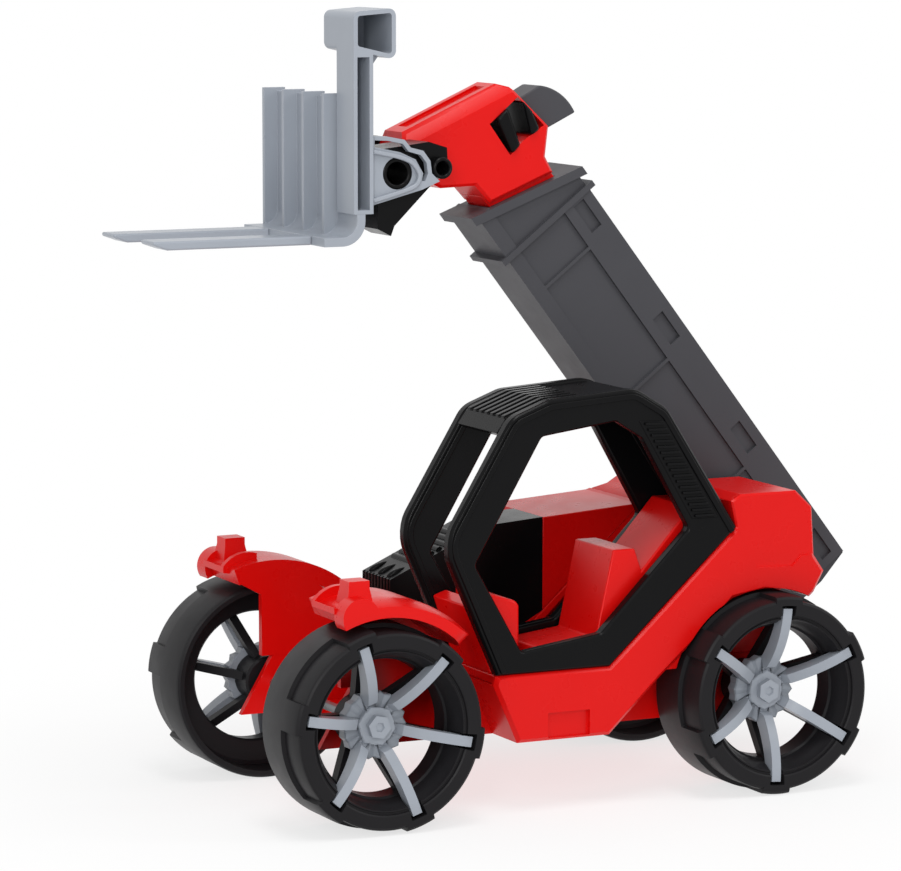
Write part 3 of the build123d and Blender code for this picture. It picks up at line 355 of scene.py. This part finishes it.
# Ridge round the pin on the outer face of the post's bracket, its corners cut twice to a smooth line
ridge = bmesh.new()
ridge_foot_y = 37.6
ridge_height = 2.0
ridge_thickness = 1.7
ridge_line = [(72.5, 270.3), (60.2, 267.9), (54.1, 265.1), (51.0, 260.0), (51.8, 256.1), (54.5, 253.9),
              (60.6, 252.0), (72.5, 248.9)]
for _ in range(2):
    cuts = [Vector(a).lerp(Vector(b), share) for a, b in zip(ridge_line, ridge_line[1:]) for share in (0.25, 0.75)]
    ridge_line = [ridge_line[0], *cuts, ridge_line[-1]]
corners = [ridge.verts.new((x, ridge_foot_y, z)) for x, z in ridge_line]
run = [ridge.edges.new(pair) for pair in zip(corners, corners[1:])]
raised = bmesh.ops.extrude_edge_only(ridge, edges=run)["geom"]
raised_corners = [part for part in raised if isinstance(part, bmesh.types.BMVert)]
bmesh.ops.translate(ridge, verts=raised_corners, vec=(0, ridge_height, 0))
bmesh.ops.recalc_face_normals(ridge, faces=ridge.faces)
bmesh.ops.solidify(ridge, geom=ridge.faces[:], thickness=ridge_thickness)
bmesh.ops.recalc_face_normals(ridge, faces=ridge.faces)
new_piece(ridge, "bracket_ridge", "fork", "silver_plastic", 0.4)


def slab(shape, outline, y_low, y_high):
    """Adds an upright plate with the given (x, z) outline between two y values."""
    near = shape.faces.new([shape.verts.new((x, y_low, z)) for x, z in outline])
    push(shape, [near], (0, y_high - y_low, 0))
    bmesh.ops.recalc_face_normals(shape, faces=shape.faces)


# Cab frames: a wide round at the front knee; the right one mirrors the left across the middle of the cab
cab_middle_y = 42.0
knee_x, knee_z = 54.5, 112.5
knee_reach = 4.0
knee_cut = 9.0
left_frame = solid_copy("cab_frame_left")
knee = [edge for edge in left_frame.edges
        if all(hypot(end.co.x - knee_x, end.co.z - knee_z) < knee_reach for end in edge.verts)]
bmesh.ops.bevel(left_frame, geom=knee, offset=knee_cut, segments=6, profile=0.5, affect="EDGES", material=-1)
right_frame = other_side(left_frame)
bmesh.ops.translate(right_frame, verts=right_frame.verts, vec=(0, 2 * cab_middle_y, 0))
dress("cab_frame_left", left_frame, 0.5)
dress("cab_frame_right", right_frame, 0.5)

# Raised rail along the outer edge of each cab frame, from the rear post over the roof to the front foot.
# Each corner has its (x, z) place and how far its round reaches along both sides.
rail_corners = [((-80.4, 111.6), 0.0), ((-47.5, 162.8), 2.7), ((-32.8, 171.8), 3.8), ((7.0, 169.1), 1.8),
                ((24.0, 162.7), 4.1), ((knee_x, knee_z), knee_cut), ((30.3, 57.7), 0.0)]
rail_edge = 1.8
rail_width = 2.4
rail_height = 0.8
rail_sink = 0.2
round_steps = 6
places = [Vector(place) for place, _ in rail_corners]
rail_line = [places[0]]
for before, here, after, (_, cut) in zip(places, places[1:], places[2:], rail_corners[1:]):
    first, last = here + (before - here).normalized() * cut, here + (after - here).normalized() * cut
    for step in range(round_steps + 1):
        share = step / round_steps
        rail_line.append(first.lerp(here, share).lerp(here.lerp(last, share), share))
rail_line.append(places[-1])
for name, face_y in (("cab_rail_left", 66.0), ("cab_rail_right", 24.0)):
    rail = bmesh.new()
    rows = []
    for i, point in enumerate(rail_line):
        run = (rail_line[min(i + 1, len(rail_line) - 1)] - rail_line[max(i - 1, 0)]).normalized()
        inward = Vector((run.y, -run.x))
        rows.append([rail.verts.new((p.x, face_y - rail_sink, p.y))
                     for p in (point + inward * rail_edge, point + inward * (rail_edge + rail_width))])
    for (a, b), (c, d) in zip(rows, rows[1:]):
        rail.faces.new((a, b, d, c))
    push(rail, rail.faces[:], (0, rail_height + rail_sink, 0))
    bmesh.ops.recalc_face_normals(rail, faces=rail.faces)
    new_piece(rail, name, "chassis", "black_plastic", 0.35)

# Louvre panel on the rear post: a thin plate with slats that stand proud of it
louvres = bmesh.new()
louvre_top = [(-46.0, 158.0), (-33.8, 158.4)]
louvre_low = [(-71.4, 116.4), (-58.8, 116.5)]
louvre_plate_y = (65.4, 66.4)
slat_y = (66.0, 67.4)
slat_count = 17
slat_half = 0.6
slat_margin = 0.14
slab(louvres, [louvre_top[0], louvre_top[1], louvre_low[1], louvre_low[0]], *louvre_plate_y)
for i in range(slat_count):
    share = (i + 0.5) / slat_count
    ends = [Vector(high).lerp(Vector(low), share) for high, low in zip(louvre_top, louvre_low)]
    inset = (ends[1] - ends[0]) * slat_margin
    rear, front = ends[0] + inset, ends[1] - inset
    slab(louvres, [(rear.x, rear.y - slat_half), (front.x, front.y - slat_half), (front.x, front.y + slat_half),
                   (rear.x, rear.y + slat_half)], *slat_y)
new_piece(louvres, "post_louvres", "chassis", "black_plastic", 0.3)

# Hood: its crown stands over the red deck, with three drop-shaped bumps along the front edge
hood = solid_copy("hood")
hood_front = Vector((39.7, 0, 80.8))
hood_normal = Vector((20.2, 0, 45.4)).normalized()
hood_slope = Vector((-45.4, 0, 20.2)).normalized()
crown_rise = 5.0
crown_depth = 3.0
crown_rear_x = -40.0
for corner in hood.verts:
    if (corner.co - hood_front).dot(hood_normal) > -crown_depth and corner.co.x > crown_rear_x:
        corner.co.z += crown_rise
dress("hood", hood, 0.6)
bumps = bmesh.new()
bump_back = 5.5
bump_half_length, bump_half_width, bump_height = 4.5, 2.6, 1.9
bump_taper = 0.32
for y in (-40.0, -31.0, -22.0):
    bump = bmesh.ops.create_uvsphere(bumps, u_segments=20, v_segments=12, radius=1)["verts"]
    for corner in bump:
        forward, aside, up = corner.co
        taper = 1 - bump_taper * (1 - forward)
        corner.co = (hood_front + Vector((0, y, crown_rise)) + hood_slope * (bump_back - bump_half_length * forward)
                     + Vector((0, bump_half_width * aside * taper, 0)) + hood_normal * (bump_height * up * taper))
new_piece(bumps, "hood_bumps", "chassis", "black_plastic", 0)

# Engine cover: its outer top edge falls away below the hood
cover = solid_copy("engine_cover")
cover_outer_y = -60.0
cover_rear_x, cover_front_x = -34.0, 40.0
cover_depth = 4.0
cover_drop = 7.0
for corner in cover.verts:
    on_top = (corner.co - hood_front).dot(hood_normal) > -cover_depth
    if on_top and corner.co.y < cover_outer_y and cover_rear_x < corner.co.x < cover_front_x:
        corner.co.z -= cover_drop
dress("engine_cover", cover, 0.6)

# Right rear housing: its top starts further back and lower than on the cab side
housing_front_x = -86.0
housing_top_z = 118.0
housing_move = Vector((-10.0, 0, -9.0))
for node in ("rear_cheek_right", "side_panel_right"):
    housing = solid_copy(node)
    for corner in housing.verts:
        if corner.co.x > housing_front_x and corner.co.z > housing_top_z:
            corner.co += housing_move
    dress(node, housing, 0.9)

# Foot box at the front of the cab floor
foot_box = bmesh.new()
foot_box_side = [(16.9, 57.7), (16.9, 84.9), (18.6, 86.9), (30.0, 90.5), (30.3, 57.7)]
foot_box_y = (25.6, 58.8)
slab(foot_box, foot_box_side, *foot_box_y)
new_piece(foot_box, "foot_box", "chassis", "red_plastic", 1.0)

# Cab roof: only a fine round on its ribs, which stand close together
dress("cab_roof", solid_copy("cab_roof"), 0.25)

# The other solids keep their shape and get rounded edges
for node in frame["nodes"]:
    if node not in dressed:
        dress(node, solid_copy(node))

# Floor, light and camera
floor_half = 8.0
floor_gap_mm = 0.2
floor_mesh = bpy.data.meshes.new("floor_mesh")
sheet = bmesh.new()
bmesh.ops.create_grid(sheet, x_segments=1, y_segments=1, size=floor_half)
sheet.to_mesh(floor_mesh)
sheet.free()
floor = bpy.data.objects.new("floor", floor_mesh)
bpy.context.scene.collection.objects.link(floor)
floor.location.z = -floor_gap_mm * MM

# Matt white paper that glows a little, so that shadows on it stay pale, and is plain white further out
glow_near, glow_far = 0.72, 1.0
fade_start, fade_end = 0.1, 0.34
paper, tree = new_material("pale_studio_paper")
place = add(tree, "ShaderNodeTexCoord").outputs["Object"]
reach = add(tree, "ShaderNodeVectorMath", {0: place}, operation="LENGTH")
fade = add(tree, "ShaderNodeMapRange", {"Value": reach.outputs["Value"], "From Min": fade_start, "From Max": fade_end,
                                        "To Min": glow_near, "To Max": glow_far}, interpolation_type="SMOOTHSTEP")
fibre = add(tree, "ShaderNodeTexNoise", {"Vector": place, "Scale": per_mm(3), "Detail": 3.0})
tone = add(tree, "ShaderNodeMix", {"Factor": fibre.outputs["Fac"], "A": linear("#fafafa"), "B": linear("#fdfdfd")},
           data_type="RGBA")
matt = add(tree, "ShaderNodeBsdfDiffuse", {"Color": tone.outputs[2]})
white = add(tree, "ShaderNodeEmission", {"Color": (1, 1, 1, 1), "Strength": 1.0})
blend = add(tree, "ShaderNodeMixShader", {0: fade.outputs["Result"], 1: matt.outputs[0], 2: white.outputs[0]})
add(tree, "ShaderNodeOutputMaterial", {"Surface": blend.outputs[0]})
floor_mesh.materials.append(paper)

world = bpy.data.worlds.new("studio")
bpy.context.scene.world = world
world.use_nodes = True
tree = world.node_tree
tree.nodes.clear()
path = add(tree, "ShaderNodeLightPath")
seen = add(tree, "ShaderNodeMath", {0: path.outputs["Is Camera Ray"], 1: path.outputs["Is Glossy Ray"]},
           operation="MAXIMUM")
seen = add(tree, "ShaderNodeMath", {0: seen.outputs[0], 1: path.outputs["Is Transmission Ray"]}, operation="MAXIMUM")
fill = add(tree, "ShaderNodeBackground", {"Color": (1, 1, 1, 1), "Strength": 0.5})
backdrop = add(tree, "ShaderNodeBackground", {"Color": (1, 1, 1, 1), "Strength": 1.0})
both = add(tree, "ShaderNodeMixShader", {0: seen.outputs[0], 1: fill.outputs[0], 2: backdrop.outputs[0]})
add(tree, "ShaderNodeOutputWorld", {"Surface": both.outputs[0]})


def softbox(name, place, aim, width, length, level):
    """Oblong lamp that adds about the given level to a white surface facing it at the aim."""
    lamp = bpy.data.lights.new(name, "AREA")
    lamp.shape = "RECTANGLE"
    lamp.size = width
    lamp.size_y = length
    away = Vector(aim) - Vector(place)
    lamp.energy = level * pi ** 2 * away.length_squared
    holder = bpy.data.objects.new(name, lamp)
    holder.location = place
    holder.rotation_mode = "QUATERNION"
    holder.rotation_quaternion = away.to_track_quat("-Z", "Y")
    bpy.context.scene.collection.objects.link(holder)


centre = (0.0, 0.0, 0.14)
softbox("overhead_softbox", (0.2, 0.5, 1.6), centre, 0.45, 0.8, 0.40)
softbox("front_softbox", (0.9, 1.4, 0.7), centre, 0.25, 0.7, 0.28)
softbox("rear_softbox", (-1.2, 0.9, 0.9), centre, 0.25, 0.7, 0.14)

camera_place = Vector((776.1, 1573.5, 371.0)) * MM
camera_aim = Vector((19.69, 0.0, 147.8)) * MM
camera = bpy.data.cameras.new("photo_camera")
camera.sensor_width = 36.0
camera.lens = 168.8
camera_holder = bpy.data.objects.new("photo_camera", camera)
camera_holder.location = camera_place
camera_holder.rotation_mode = "QUATERNION"
camera_holder.rotation_quaternion = (camera_aim - camera_place).to_track_quat("-Z", "Y")
bpy.context.scene.collection.objects.link(camera_holder)
bpy.context.scene.camera = camera_holder
bpy.context.scene.view_settings.view_transform = "Standard"
